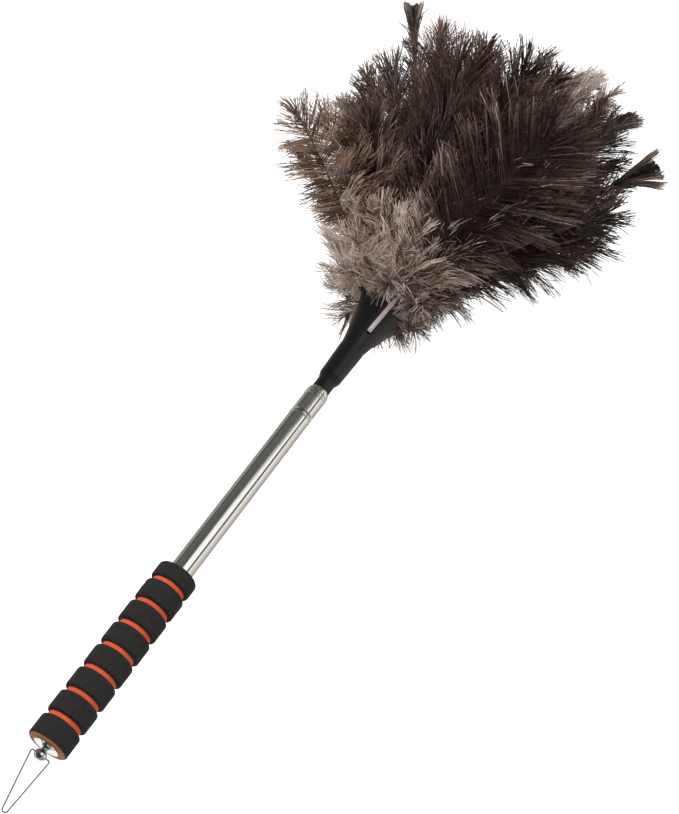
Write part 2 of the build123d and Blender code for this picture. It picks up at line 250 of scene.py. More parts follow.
def closed_cell_foam(name, dark, light, shaded_grooves=None):
    """Foam rubber with open pores in its cut skin and a mottled colour. Grooves, given as the
    height of a groove's middle and the grooves' pitch, get painted shade along both edges,
    where they meet the rings."""
    f = new_finish(name)
    cells = f.node("TexVoronoi", {}, f.place(), Scale=cell_scale, out="Distance")
    pores = f.node("TexVoronoi", {}, f.place(), Scale=pore_scale, out="Distance")
    pores = (1 - pores * 2.2).clamp()
    mottle = f.noise(240, 4, 0.65)
    tint = f.mix(mottle, dark, light)
    tint = f.mix(pores * 0.35, tint, shade_of(dark, 0.55))
    if shaded_grooves:
        middle, pitch = shaded_grooves
        level = f.node("SeparateXYZ", {}, f.place(), out="Z")
        cycle = ((level - middle) * (1 / pitch) + 0.5).math("FRACT")
        aside = (cycle - 0.5).math("ABSOLUTE") * pitch
        # Painted shade: each groove darkens towards both edges, in the corners by the black rings.
        painted_groove_shade = ((aside - unshaded_half_width) * (1 / groove_shade_width)).clamp()
        tint = f.mix(painted_groove_shade * 0.8, tint, shade_of(dark, 0.12))
    height = cells * 0.6 - pores * 0.8 + mottle * 0.5
    return f.surface(
        Base_Color=tint,
        Roughness=0.86 - pores * 0.1,
        Normal=f.bump(height, 0.14 * mm, 0.8),
        Specular_IOR_Level=0.2,
    )


def fibre_washer():
    """Tan pressed board, with darker bands and paler flecks."""
    f = new_finish("fibre_washer")
    flecks = f.noise(2400, 4, 0.7)
    bands = f.noise(330, 3, 0.6)
    tint = f.mix(bands, paint(190, 112, 60), paint(150, 86, 50))
    tint = f.mix((flecks - 0.45) * 1.6, tint, paint(206, 150, 98))
    return f.surface(
        Base_Color=tint, Roughness=flecks * 0.2 + 0.55, Normal=f.bump(flecks, 0.08 * mm, 0.7)
    )


def white_nylon():
    """Friction sleeves and bushings: off-white, faintly clouded."""
    f = new_finish("white_nylon")
    haze = f.noise(500, 3, 0.6)
    tint = f.mix(haze, paint(214, 210, 198), paint(228, 226, 218))
    return f.surface(Base_Color=tint, Roughness=haze * 0.15 + 0.35)


def turned_wood():
    """The dowel's pale wood, with its grain along the pole."""
    f = new_finish("turned_wood")
    grain = f.noise(900, 4, 0.65, (1, 1, 0.06))
    tint = f.mix(grain, paint(150, 112, 72), paint(196, 160, 112))
    return f.surface(
        Base_Color=tint, Roughness=grain * 0.2 + 0.55, Normal=f.bump(grain, 0.05 * mm, 0.5)
    )


def waxed_thread():
    """Turns of thread round the quills. Their colour follows the turns' relief as painted light:
    dark in the hollows between turns, light on the crowns.
    """
    thread_pitch = 0.6 * mm
    f = new_finish("waxed_thread")
    height = f.node("SeparateXYZ", {}, f.place(), out="Z")
    turn_relief_and_shade = (height * (full_turn / thread_pitch)).math("SINE") * 0.5 + 0.5
    lint = f.noise(2000, 3, 0.6)
    # Painted light: dark in the hollows between turns, light on their crowns.
    tint = f.mix(turn_relief_and_shade, paint(52, 42, 34), paint(118, 96, 72))
    return f.surface(
        Base_Color=tint, Roughness=lint * 0.2 + 0.6, Normal=f.bump(turn_relief_and_shade + lint * 0.3, 0.2 * mm, 0.9)
    )


def plumage():
    """Ostrich barbs. An attribute of the feathers' meshes carries each strand's tone, the place
    from its root to its tip, its warmth and a lot of its own."""
    f = new_finish("plumage")
    strand = f.node("Attribute", {"attribute_name": "strand"}, out="Color")
    tone = f.node("SeparateColor", {}, strand)
    along = tone.sibling("Green")
    warm = tone.sibling("Blue")
    fluff = f.noise(1500, 2, 0.6)
    broken_highlight = f.noise(160, 2, 0.6)
    # Painted highlight: a noise lightens short stretches of the strands, where curled barbs catch the
    # light. Towards its tip a barb is a little paler, partly as painted highlight and partly as its
    # own paler tip.
    depth = (tone + (fluff - 0.5) * 0.24 + (broken_highlight - 0.5) * 0.45 + along * 0.06).clamp()
    browns = [
        (0.0, paint(10, 6, 5)),
        (0.28, paint(32, 22, 20)),
        (0.50, paint(73, 57, 51)),
        (0.74, paint(147, 127, 117)),
        (1.0, paint(224, 205, 192)),
    ]
    tint = f.node("ValToRGB", {"stops": browns}, depth)
    rust = f.mix(tone, paint(84, 55, 38), paint(186, 146, 114))
    tint = f.mix((warm * (along * 0.7 + 0.3)).clamp(), tint, rust)
    return f.surface(
        Base_Color=tint,
        Roughness=fluff * 0.2 + 0.5,
        Specular_IOR_Level=0.28,
        Specular_Tint=(1.0, 0.84, 0.76, 1),
        Sheen_Weight=0.25,
        Sheen_Roughness=0.4,
        Sheen_Tint=(1.0, 0.82, 0.72, 1),
    )


def quill_horn():
    """Quill and rib: pale pinkish horn in the cup, darker and glossier up the feather."""
    f = new_finish("quill_horn")
    strand = f.node("Attribute", {"attribute_name": "strand"}, out="Color")
    tone = f.node("SeparateColor", {}, strand)
    fibres = f.noise(1800, 3, 0.6, (1, 1, 0.05))
    horns = [
        (0.0, paint(22, 15, 13)),
        (0.5, paint(112, 94, 86)),
        (1.0, paint(222, 206, 204)),
    ]
    tint = f.node("ValToRGB", {"stops": horns}, tone)
    tint = f.mix((fibres - 0.4) * 0.5, tint, paint(92, 76, 72))
    return f.surface(
        Base_Color=tint,
        Roughness=fibres * 0.15 + 0.38,
        Specular_IOR_Level=0.3,
        Specular_Tint=(1.0, 0.86, 0.8, 1),
        Normal=f.bump(fibres, 0.05 * mm, 0.5),
    )


def dress(names, finish):
    """Gives CAD nodes, whose shape is right as it is, a better finish."""
    for name in names:
        slots = nodes[name].data.materials
        slots.clear()
        slots.append(finish)


steel = polished_steel()
plastic = moulded_plastic()
nylon = white_nylon()
groove_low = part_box("grip_ring_1")[1][2]
groove_high, next_groove_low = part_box("grip_ring_2")[0][2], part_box("grip_ring_2")[1][2]
black_foam = closed_cell_foam("black_foam", paint(39, 39, 39), paint(58, 58, 57))
orange_foam = closed_cell_foam(
    "orange_foam",
    paint(240, 82, 48),
    paint(255, 130, 88),
    shaded_grooves=((groove_low + groove_high) / 2, next_groove_low - groove_low),
)
feather_finish = plumage()
horn = quill_horn()
dress(["outer_tube", "stage_2_tube", "stage_3_tube", "stage_4_tube"], steel)
dress([n for n in nodes if n.endswith("_sleeve") or n.startswith("guide_bushing")], nylon)
dress(["butt_cap"], bright_chrome())
dress(["wire_loop"], spring_wire())
dress(["end_washer"], fibre_washer())
dress(["head_socket", "head_collar", "feather_cup"], plastic)
dress(["core_dowel"], turned_wood())
dress(["quill_binding"], waxed_thread())


# ================================================================ foam grip
spin_steps = 96
round_steps = 5
wall_cuts = 7
same_place = 1e-6
weld_distance = 1e-5
smooth_below = 50


def select_points(piece, chosen):
    """Selects the points of a mesh by their place, and nothing else."""
    bpy.ops.object.mode_set(mode="EDIT")
    bpy.ops.mesh.select_mode(type="VERT")
    bpy.ops.mesh.select_all(action="DESELECT")
    bpy.ops.object.mode_set(mode="OBJECT")
    for point in piece.data.vertices:
        point.select = chosen(point.co)


def spun_wall(name, inner, outer, low, high, low_round, high_round):
    """A foam band: the section of its wall is drawn, rounded and spun round the pole."""
    bpy.ops.object.select_all(action="DESELECT")
    bpy.ops.mesh.primitive_plane_add(
        size=1,
        location=((inner + outer) / 2, 0, (low + high) / 2),
        rotation=(radians(90), 0, 0),
    )
    band = bpy.context.object
    band.name = name
    band.data.name = name
    band.scale = (outer - inner, high - low, 1)
    bpy.ops.object.transform_apply(location=True, rotation=True, scale=True)
    for corner_height, rounding in ((low, low_round), (high, high_round)):
        select_points(
            band,
            lambda p: p.x > outer - same_place and abs(p.z - corner_height) < same_place,
        )
        bpy.ops.object.mode_set(mode="EDIT")
        bpy.ops.mesh.bevel(offset=rounding, segments=round_steps, affect="VERTICES")
        bpy.ops.object.mode_set(mode="OBJECT")
    select_points(band, lambda p: p.x > outer - same_place)
    bpy.ops.object.mode_set(mode="EDIT")
    bpy.ops.mesh.subdivide(number_cuts=wall_cuts)
    bpy.ops.mesh.select_all(action="SELECT")
    bpy.ops.mesh.delete(type="ONLY_FACE")
    bpy.ops.mesh.select_all(action="SELECT")
    bpy.ops.mesh.spin(
        steps=spin_steps, angle=radians(360), center=(0, 0, 0), axis=(0, 0, 1), dupli=False
    )
    bpy.ops.mesh.select_all(action="SELECT")
    bpy.ops.mesh.remove_doubles(threshold=weld_distance)
    bpy.ops.mesh.normals_make_consistent(inside=False)
    bpy.ops.object.mode_set(mode="OBJECT")
    return band


def soften(piece, unevenness, lump):
    """Foam never cuts quite true: a slow swell over the surface, and smooth shading."""
    cloud = bpy.data.textures.new(piece.name + "_swell", "CLOUDS")
    cloud.noise_scale = lump
    swell = piece.modifiers.new("swell", "DISPLACE")
    swell.texture = cloud
    swell.texture_coords = "LOCAL"
    swell.strength = unevenness
    bpy.ops.object.select_all(action="DESELECT")
    piece.select_set(True)
    bpy.context.view_layer.objects.active = piece
    bpy.ops.object.modifier_apply(modifier=swell.name)
    bpy.ops.object.shade_smooth_by_angle(angle=radians(smooth_below))


def outer_radius(node):
    """The radius of a round CAD node."""
    low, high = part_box(node)
    return (high[0] - low[0]) / 2


foam_radius = outer_radius("grip_ring_1")
core_radius = outer_radius("grip_core")
tube_radius = outer_radius("outer_tube")
ring_names = sorted(n for n in nodes if n.startswith("grip_ring_"))
edge_round = 1.9 * mm
butt_round = edge_round / 3
top_round = 3.0 * mm
core_round = 0.3 * mm
seam = 0.1 * mm
foam_unevenness = 0.25 * mm
foam_lump = 9 * mm

for name in ring_names:
    low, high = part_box(name)
    first, last = name == ring_names[0], name == ring_names[-1]
    ring = spun_wall(
        name.replace("grip_ring", "foam_ring"),
        core_radius + seam,
        foam_radius,
        low[2],
        high[2],
        butt_round if first else edge_round,
        top_round if last else edge_round,
    )
    soften(ring, foam_unevenness, foam_lump)
    ring.data.materials.append(black_foam)
    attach(ring, "handle")
    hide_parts(name)

# The orange layer shows at the bottom of the grooves.
low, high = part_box("grip_core")
core = spun_wall(
    "foam_core", tube_radius + seam, core_radius, low[2], high[2], core_round, core_round
)
core.data.materials.append(orange_foam)
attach(core, "handle")
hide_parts("grip_core")


# ================================================================ rolled beads of the pole
mouth_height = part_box("outer_tube")[1][2]
crimp_below_mouth = 27.5 * mm
crimp_height = mouth_height - crimp_below_mouth
crimp_half_width = 2.0 * mm
bead_thickness = 1.7 * mm
bead_stands_out = 0.55 * mm
bead_steps = 16
beads = {
    "crimp_bead_low": crimp_height - crimp_half_width,
    "crimp_bead_high": crimp_height + crimp_half_width,
    "mouth_bead_low": mouth_height - 7.4 * mm,
    "mouth_bead_high": mouth_height - 4.2 * mm,
}
for name, level in beads.items():
    bpy.ops.object.select_all(action="DESELECT")
    bpy.ops.mesh.primitive_torus_add(
        major_radius=tube_radius + bead_stands_out - bead_thickness / 2,
        minor_radius=bead_thickness / 2,
        major_segments=spin_steps,
        minor_segments=bead_steps,
        location=(0, 0, level),
    )
    bpy.ops.object.transform_apply(location=True, rotation=True, scale=True)
    bpy.ops.object.shade_smooth()
    bead = bpy.context.object
    bead.name = name
    bead.data.name = name
    bead.data.materials.append(steel)
    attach(bead, "handle")


# ================================================================ feathers
rim_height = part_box("feather_cup")[1][2]
cup_height = 41.7 * mm
collar_height = rim_height - cup_height
heart_above_rim = 9 * mm
heart_height = rim_height + heart_above_rim
slot_turn = -80
front_feather = "slot_feather_1"

# Each tier as the maker sets it: where the quills start (radius, height), how they lean there,
# how long they run straight, the radius of their bend, how much steeper than its lean a
# feather leaves that bend, and the quill's width.
tiers = {
    "slot": dict(
        foot=(12.2 * mm, collar_height + 16.6 * mm), foot_lean=13.9, straight=25.9 * mm,
        bend=26 * mm, droop=16, quill=4.2 * mm,
    ),
    "rim": dict(
        foot=(13.2 * mm, rim_height - 9 * mm), foot_lean=3, straight=12 * mm,
        bend=22 * mm, droop=16, quill=2.8 * mm,
    ),
    "down": dict(
        foot=(13.4 * mm, rim_height - 9 * mm), foot_lean=0, straight=11 * mm,
        bend=8 * mm, droop=22, quill=2.4 * mm,
    ),
    "mid": dict(
        foot=(8.0 * mm, collar_height + 16 * mm), foot_lean=0, straight=29.7 * mm,
        bend=40 * mm, droop=9, quill=3.0 * mm,
    ),
    "top": dict(
        foot=(4.6 * mm, collar_height + 16 * mm), foot_lean=0, straight=33.7 * mm,
        bend=60 * mm, droop=5, quill=2.6 * mm,
    ),
    "core": dict(
        foot=(1.4 * mm, collar_height + 37.6 * mm), foot_lean=0, straight=16 * mm,
        bend=80 * mm, droop=2, quill=2.0 * mm,
    ),
}

# A row of a tier: azimuth round the pole, lean, reach and width of the vane in millimetres,
# how pale its barbs are from 0 to 1, how warm their tips, and how they grow. Lean and reach
# are seen from the heart.
feathers = {
    "slot": [
        (slot_turn, 42, 228, 90, 0.30, 0.0, "fan"),
        (slot_turn + 90, 31, 242, 58, 0.22, 0.0, "soft"),
        (slot_turn + 180, 46, 243, 74, 0.32, 0.1, "soft"),
        (slot_turn + 270, 62, 204, 52, 0.62, 0.9, "fringe"),
    ],
    "rim": [
        (-35, 36, 231, 78, 0.16, 0.0, "smooth"),
        (55, 33, 290, 60, 0.26, 0.3, "soft"),
        (145, 39, 294, 58, 0.46, 0.4, "soft"),
        (235, 38, 240, 76, 0.18, 0.2, "soft"),
    ],
    "mid": [
        (-105, 26, 262, 78, 0.33, 0.0, "vane"),
        (-50, 24, 270, 78, 0.13, 0.0, "vane"),
        (0, 21, 300, 60, 0.10, 0.1, "vane"),
        (50, 20, 345, 76, 0.22, 0.5, "vane"),
        (95, 22, 320, 74, 0.28, 0.2, "vane"),
        (137, 34, 325, 60, 0.32, 0.8, "vane"),
        (175, 26, 308, 54, 0.12, 0.1, "vane"),
        (205, 38, 228, 62, 0.20, 0.3, "soft"),
    ],
    "top": [
        (-88, 8, 300, 54, 0.10, 0.0, "vane"),
        (-14, 12.5, 334, 56, 0.12, 0.0, "vane"),
        (60, 9, 352, 56, 0.22, 0.2, "vane"),
        (127, 15, 362, 60, 0.13, 0.5, "vane"),
        (190, 23, 298, 60, 0.15, 0.9, "soft"),
    ],
    "core": [
        (-45, 3.5, 330, 30, 0.66, 0.0, "soft"),
        (135, 3.5, 345, 34, 0.76, 0.0, "soft"),
    ],
    "down": [
        (-57, 88, 54, 30, 0.62, 0.0, "down"),
        (-12, 88, 42, 26, 0.50, 0.0, "down"),
        (33, 96, 38, 26, 0.52, 0.2, "down"),
        (78, 100, 44, 28, 0.54, 0.3, "down"),
        (123, 100, 52, 32, 0.74, 0.0, "down"),
        (168, 98, 57, 34, 0.88, 0.0, "down"),
        (213, 100, 64, 36, 0.92, 0.0, "down"),
        (258, 92, 56, 32, 0.80, 0.0, "down"),
    ],
}


def turned(lean):
    """Unit steps (outward, up) of a line that leans from the upright."""
    return np.stack([np.sin(np.radians(lean)), np.cos(np.radians(lean))], -1)


def unit(vectors, guard=0):
    """The same directions at length 1. A guard keeps an empty vector from a division by 0."""
    return vectors / (np.linalg.norm(vectors, axis=-1, keepdims=True) + guard)


def run(start, leans, length):
    """Points of a curve whose lean goes through these values at even steps of its length."""
    middles = (leans[1:] + leans[:-1]) / 2
    steps = turned(middles) * length / len(middles)
    return np.concatenate([[start], start + np.cumsum(steps, axis=0)])


def sample(line, places):
    """Points at places from 0 to 1 along a line of even steps."""
    at = places * (len(line) - 1)
    low = at.astype(int).clip(0, len(line) - 2)
    f = (at - low)[:, None]
    return line[low] * (1 - f) + line[low + 1] * f


quill_points = 7
bend_points = 9
rib_points = 61
shortest_bend = 0.5 * mm
straight_enough = 0.01


def stem_and_rib(build, lean, reach):
    """The quill and the rib of a feather as (outward, up) points. The rib is an arc from the
    end of the quill's bend to the tip."""
    foot_lean = build["foot_lean"]
    vane_lean = lean - build["droop"]
    quill = run(np.array(build["foot"]), np.full(quill_points, float(foot_lean)), build["straight"])
    bend_length = max(build["bend"] * abs(radians(vane_lean - foot_lean)), shortest_bend)
    bend = run(quill[-1], np.linspace(foot_lean, vane_lean, bend_points), bend_length)
    tip = np.array([0, heart_height]) + reach * turned(lean)
    chord = tip - bend[-1]
    swing = np.degrees(np.arctan2(*chord)) - vane_lean
    half_arc = np.radians(swing)
    stretch = half_arc / np.sin(half_arc) if abs(swing) > straight_enough else 1
    leans = np.linspace(vane_lean, vane_lean + 2 * swing, rib_points)
    rib = run(bend[-1], leans, np.linalg.norm(chord) * stretch)
    return np.concatenate([quill, bend[1:]]), rib


class Strands:
    """Gathers tapered three-sided strands and makes one mesh of them."""

    # A strand's depth as a share of its width.
    depth = 0.75
    guard = 1e-12

    def __init__(self):
        self.points = []
        self.marks = []

    def add(self, paths, radii, normals, marks):
        """paths is (strands, rings, 3), radii (strands, rings), normals (strands, 3) and
        marks (strands, rings, 4)."""
        along = unit(np.gradient(paths, axis=1), self.guard)
        side = unit(np.cross(along, normals[:, None, :]), self.guard)
        up = np.cross(side, along)
        corners = []
        for angle in (90, 210, 330):
            c, s = np.cos(np.radians(angle)), np.sin(np.radians(angle))
            corners.append(paths + radii[:, :, None] * (side * c + up * s * self.depth))
        self.points.append(np.stack(corners, 2))
        self.marks.append(np.repeat(marks[:, :, None, :], 3, axis=2))

    def faces(self, count, rings, first):
        """Corner numbers of the side quads, then of the end triangles."""
        base = first + np.arange(count)[:, None, None] * rings * 3
        ring = np.arange(rings - 1)[None, :, None] * 3
        k = np.arange(3)[None, None, :]
        a = base + ring + k
        b = base + ring + (k + 1) % 3
        quads = np.stack([a, b, b + 3, a + 3], -1).reshape(-1, 4)
        ends = first + np.arange(count)[:, None] * rings * 3
        foot = np.concatenate([ends + 2, ends + 1, ends], 1)
        last = ends + (rings - 1) * 3
        head = np.concatenate([last, last + 1, last + 2], 1)
        return quads, np.concatenate([foot, head])

    def mesh(self, name):
        """One mesh of all strands, with their marks as its attribute."""
        quads, tris, first = [], [], 0
        for block in self.points:
            count, rings = block.shape[:2]
            q, t = self.faces(count, rings, first)
            quads.append(q)
            tris.append(t)
            first += count * rings * 3
        quads, tris = np.concatenate(quads), np.concatenate(tris)
        points = np.concatenate([b.reshape(-1, 3) for b in self.points])
        marks = np.concatenate([m.reshape(-1, 4) for m in self.marks])
        mesh = bpy.data.meshes.new(name)
        mesh.vertices.add(len(points))
        mesh.vertices.foreach_set("co", points.astype(np.float32).ravel())
        corners = np.concatenate([quads.ravel(), tris.ravel()]).astype(np.int32)
        mesh.loops.add(len(corners))
        mesh.loops.foreach_set("vertex_index", corners)
        starts = np.concatenate([
            np.arange(len(quads)) * 4,
            len(quads) * 4 + np.arange(len(tris)) * 3,
        ]).astype(np.int32)
        mesh.polygons.add(len(starts))
        mesh.polygons.foreach_set("loop_start", starts)
        mesh.update(calc_edges=True)
        colour = mesh.attributes.new("strand", "FLOAT_COLOR", "POINT")
        colour.data.foreach_set("color", marks.clip(0, 1).astype(np.float32).ravel())
        mesh.shade_smooth()
        return mesh


# How the barbs grow: their spacing along the rib and their radius, how wide they spread as a
# share of the usual angle, and how much they curl. Where it matters, start is the part of the
# rib that stays bare, fluffy how far barbs stand off the vane, clump how strongly a clump's
# tips gather, calm how flat they are kept, and cut a tip that has been sheared.
growths = {
    "fan": dict(spacing=0.54 * mm, radius=0.41 * mm, spread=1.15, curl=0.3, calm=0.75),
    "fringe": dict(
        spacing=0.42 * mm, radius=0.35 * mm, spread=1.45, curl=0.5, fluffy=0.2, clump=55
    ),
    "smooth": dict(spacing=0.62 * mm, radius=0.45 * mm, spread=0.85, curl=0.4, calm=0.5),
    "vane": dict(spacing=0.64 * mm, radius=0.47 * mm, spread=0.70, curl=0.5),
    "soft": dict(
        spacing=0.54 * mm, radius=0.40 * mm, spread=0.56, curl=0.7, fluffy=0.3, clump=90
    ),
    "down": dict(spacing=0.50 * mm, radius=0.37 * mm, spread=0.95, curl=0.8, fluffy=1),
    "brush": dict(spacing=0.28 * mm, radius=0.35 * mm, spread=0.45, curl=0.5, fluffy=0.4),
    "stub": dict(
        spacing=0.11 * mm, radius=0.50 * mm, spread=0.17, curl=0, start=0.88, clump=0, cut=1
    ),
    "splay": dict(
        spacing=0.20 * mm, radius=0.46 * mm, spread=0.27, curl=0, start=0.83, clump=70, cut=1
    ),
    "wisp": dict(
        spacing=0.60 * mm, radius=0.42 * mm, spread=0.6, curl=0.6, start=0.40, fluffy=0.3
    ),
}
# How far apart the clumps stand and the fewest of them, the longest barb as a share of the
# vane's width, and the length that a cut leaves at the very tip. Barbs gather by how far they
# are from their clump's middle, as a share of their length: not below the shortest that counts,
# and not above the most.
clump_pitch = 7.5 * mm
least_clumps = 4
longest_barb = 0.82
past_cut = 3 * mm
short_barb = 5 * mm
most_gather = 0.3
phase_range = 6.28
# Along the rib, from 0 at its root to 1 at its tip: the barbs' length as a share of the
# longest, their angle to the rib, how much paler they are and how much of the warmth they show.
barb_length = ([0, 0.1, 0.3, 0.6, 0.85, 1], [0.36, 0.45, 0.68, 1, 0.88, 0.52])
barb_angle = ([0, 0.25, 0.6, 0.85, 1], [60, 52, 48, 42, 12])
barb_paler = ([0, 0.12, 0.35, 0.7, 1], [0.40, 0.34, 0.10, 0.0, 0.0])
barb_warmth = ([0, 0.3, 0.7, 1], [0.2, 0.6, 1, 1])
# Along a barb, from 0 at the rib to 1 at its tip: where its rings are and how pale it is there,
# darker at the rib as painted shade and paler towards the tip, partly as painted highlight and
# partly as the barbs' own paler tips.
barb_rings = 5
ring_places = np.linspace(0, 1, barb_rings)
ring_shade_and_tones = np.interp(ring_places, [0, 0.5, 1], [-0.17, 0.0, 0.20])
ring_taper = 1 - 0.35 * ring_places[None, :] ** 5


def grown(roots, axes, turn, rise, length):
    """Paths of barbs from their roots. The axes point along the rib, out of it and off the
    vane. A turn in degrees swings a step out from the rib, and a rise lifts it off the vane."""
    ahead, out, over = (axis[:, None] for axis in axes)
    turn, rise = np.radians(turn)[:, :, None], np.radians(rise)[:, :, None]
    step = np.cos(rise) * (np.cos(turn) * ahead + np.sin(turn) * out) + np.sin(rise) * over
    step *= (length / (barb_rings - 1))[:, None, None]
    first = np.zeros((len(roots), 1, 3))
    return roots[:, None] + np.concatenate([first, np.cumsum(step, 1)], 1)


def barbs(
    strands, chance, line, side, width, pale, warm,
    spacing, radius, spread, curl, start=0, fluffy=0, clump=115, calm=0, cut=0,
):
    """The barbs of one feather, left and right of its rib, in clumps that close at their tips.
    Angles are in degrees. Each is a usual value, a part of the barb's own and a part that the
    clump shares."""
    directions = unit(np.gradient(line, axis=0))
    rib_length = np.linalg.norm(np.diff(line, axis=0), axis=1).sum()
    per_side = int(rib_length * (1 - start) / spacing)
    clump_count = max(least_clumps, int(rib_length * (1 - start) / clump_pitch))

    def own(amount):
        return chance.normal(0, amount, per_side)

    def some(likely):
        return chance.uniform(0, 1, per_side) < likely

    for hand in (-1, 1):
        t = (np.arange(per_side) + chance.uniform(0, 1, per_side)) / per_side
        group = (t * clump_count + own(0.25)).astype(int).clip(0, clump_count - 1)

        def shared(amount):
            return chance.normal(0, amount, clump_count)[group]

        on_rib = start + (1 - start) * t
        ahead = unit(sample(directions, on_rib))
        out = side[None, :] * hand
        out = unit(out - ahead * (ahead * out).sum(1, keepdims=True))
        over = np.cross(ahead, out) * hand

        near_tip = np.interp(t, [0.8, 1], [0, 1])
        angle = np.interp(t, *barb_angle) * spread + own(1.5 + 2.5 * curl) + shared(2 + 6 * curl)
        angle += own(12) * near_tip * spread
        length = np.interp(t, *barb_length) * width * longest_barb
        length *= (1 + own(0.03 + 0.04 * curl) + shared(0.08 + 0.04 * curl)).clip(0.5, 1.3)
        if cut:
            # Shears have cut this tip straight across.
            length = ((1 - start) * (1 - t) * rib_length + past_cut) * (1 + own(0.04))
            angle -= own(12) * near_tip * spread
        broken = some(0.03 + 0.1 * curl)
        length[broken] *= chance.uniform(0.45, 0.85, broken.sum())

        from_middle = (t - (group + 0.5) / clump_count) * (1 - start) * rib_length
        gather = (from_middle / length.clip(short_barb)).clip(-most_gather, most_gather) * clump
        loose_end = max(fluffy, 0.12 + 0.15 * curl)
        loose = np.interp(t, [0, 0.15, 0.4, 1], [1, 0.7, loose_end, loose_end])
        loose = loose * (1 - max(calm, 0.85 * cut))
        bow = (5 + own(3 + 6 * curl) + shared(6 + 7 * curl)) * (1 - 0.8 * cut)
        lift = (shared(30) + own(18)) * loose
        curve = -6 + shared(18) * curl + own(9) * curl
        wave = own(6) * curl
        phase = chance.uniform(0, phase_range, per_side)
        hook = np.where(some(0.03 + 0.09 * curl), own(70), own(14) * curl)

        bends = (angle, gather, bow, hook, wave, phase, lift, curve)
        angle, gather, bow, hook, wave, phase, lift, curve = (b[:, None] for b in bends)
        # The place along the barb of the middle of each step.
        s = (ring_places[:-1] + ring_places[1:])[None, :] / 2
        turn = angle + gather * s**1.5 + bow * s**1.6 + hook * s**4 + wave * np.sin(7 * s + phase)
        rise = lift + curve * s * 2 + wave * np.cos(6 * s + phase)
        path = grown(sample(line, on_rib), (ahead, out, over), turn, rise, length)

        thick = radius * (1 + own(0.2)).clip(0.5, 1.6)
        # One barb in ten is a good deal paler.
        tone = pale + own(0.08) + shared(0.08 + 0.06 * fluffy)
        tone = tone + 0.20 * some(0.10)
        # Each ring adds painted shade near the rib and, partly, painted highlight towards the tip.
        tone = (tone + np.interp(t, *barb_paler))[:, None] + ring_shade_and_tones[None, :]
        heat = (warm * np.interp(t, *barb_warmth) + own(0.08)).clip(0, 1)
        lot = chance.uniform(0, 1, per_side)
        marks = np.stack([
            tone,
            np.broadcast_to(ring_places, tone.shape),
            np.broadcast_to(heat[:, None], tone.shape),
            np.broadcast_to(lot[:, None], tone.shape),
        ], -1)
        strands.add(path, thick[:, None] * ring_taper, over, marks)


def lay_out(points, outward):
    """(outward, up) points as places in the model."""
    flat = np.zeros((len(points), 3))
    flat[:, :2] = points[:, :1] * outward[None, :2]
    flat[:, 2] = points[:, 1]
    return flat


sides = 9


def tube(line, radii):
    """Points and faces of a round tapering tube with closed ends."""
    ahead = unit(np.gradient(line, axis=0))
    across = [1.0, 0.0, 0.0] if abs(ahead[0][2]) >= 0.9 else [0.0, 0.0, 1.0]
    u = unit(np.cross(ahead, np.array(across)))
    v = np.cross(ahead, u)
    angles = np.arange(sides) * 2 * np.pi / sides
    ring = u[:, None] * np.cos(angles)[None, :, None] + v[:, None] * np.sin(angles)[None, :, None]
    points = (line[:, None] + ring * radii[:, None, None]).reshape(-1, 3)
    faces = []
    for row in range(len(line) - 1):
        for k in range(sides):
            a, b = row * sides + k, row * sides + (k + 1) % sides
            faces.append((a, b, b + sides, a + sides))
    faces.append(tuple(reversed(range(sides))))
    faces.append(tuple(range((len(line) - 1) * sides, len(line) * sides)))
    return points, faces


# The feathers that share a plume's piece: tier, then turn, tilt, reach and width set against
# the plume's own, twist of the vane about its rib, and growth.
fellows = {
    "slot": [
        ("rim", 24, -8, 0.98, 0.9, 20, "smooth"),
        ("rim", -22, -5, 0.92, 0.85, -25, "vane"),
    ],
    "slot_feather_1": [
        ("rim", 24, -11, 0.98, 0.9, 20, "smooth"),
        ("rim", -22, -9, 0.92, 0.85, -25, "smooth"),
    ],
    "slot_feather_4": [("rim", -22, -5, 0.95, 0.9, -25, "fringe")],
    "rim": [
        ("rim", 20, -5, 0.95, 0.9, 50, "vane"),
        ("mid", -18, -8, 0.92, 0.9, -50, "vane"),
    ],
    "mid": [("mid", 14, -6, 0.90, 1.0, 65, "vane")],
    "top": [("top", 28, -3, 0.93, 0.95, 75, "vane")],
    "core": [("core", 90, 2, 0.93, 1.6, 0, "vane")],
    "down": [
        ("down", 12, -16, 1.05, 1.0, 60, "down"),
        ("down", -12, -34, 1.25, 1.1, 120, "down"),
        ("down", 4, -54, 1.5, 1.2, 30, "down"),
    ],
}
